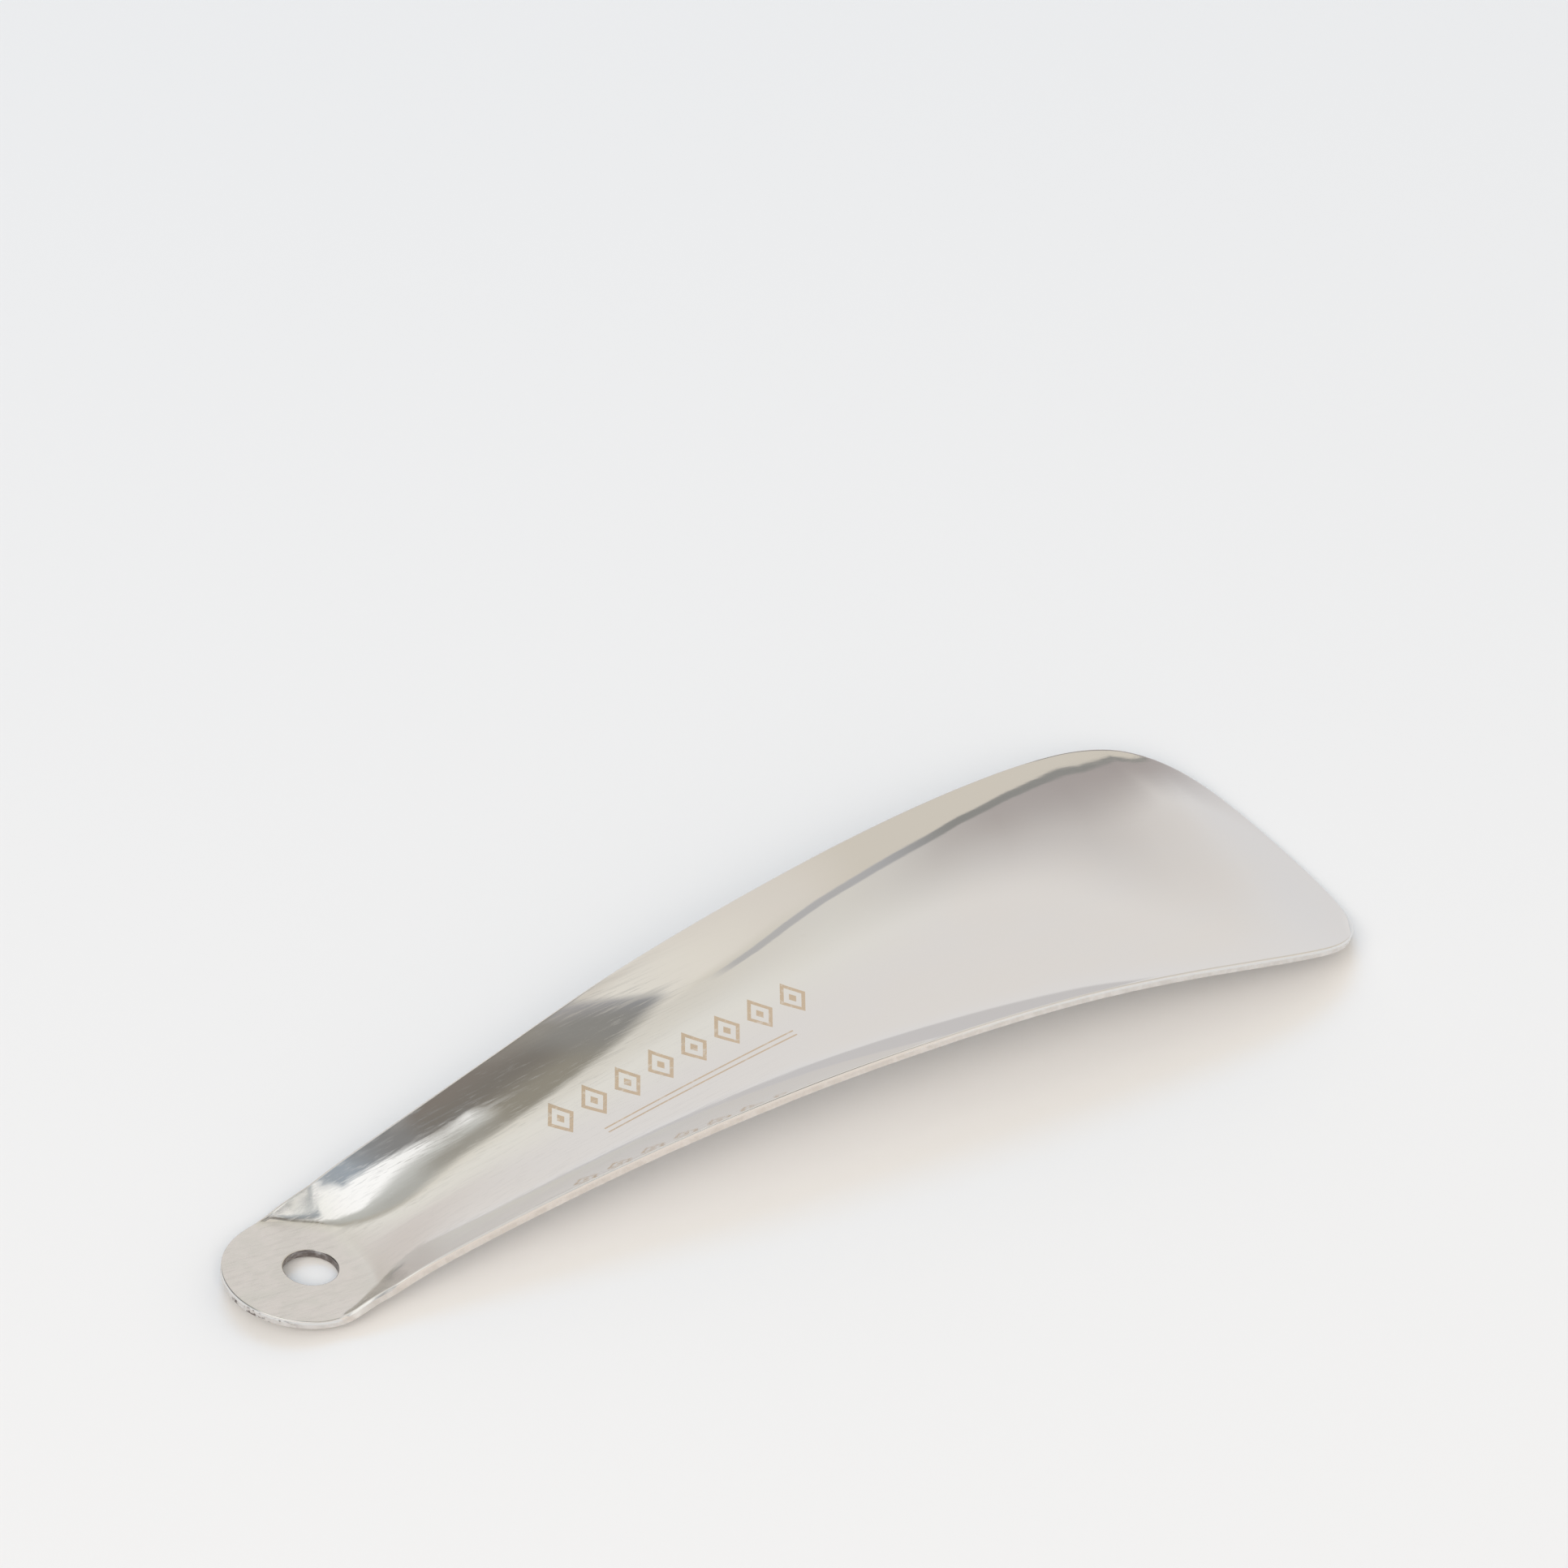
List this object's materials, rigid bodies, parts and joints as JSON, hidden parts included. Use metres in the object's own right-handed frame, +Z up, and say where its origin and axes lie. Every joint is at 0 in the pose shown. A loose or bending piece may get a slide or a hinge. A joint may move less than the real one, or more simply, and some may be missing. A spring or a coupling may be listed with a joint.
{
  "type": "shoehorn",
  "caption": "One-piece pressed steel shoehorn: rounded hang end with a punched hole, open channel neck and a wide flared blade curved to slide a heel into a shoe.",
  "frame": {"origin": "bottom centre of the piece's bounding box as it rests, hollow side up, on its neck bend and blade tip", "axes": "+X from the hang end to the blade tip, +Z up out of the hollow side, +Y to the left looking along +X; the piece mirrors about the plane Y = 0"},
  "size_m": [0.1384, 0.0442, 0.0124],
  "materials": {
    "polished_steel": "bright polish with faint lengthwise grain"
  },
  "bodies": {
    "root": {"shoehorn_body": "polished_steel"}
  },
  "joints": []
}
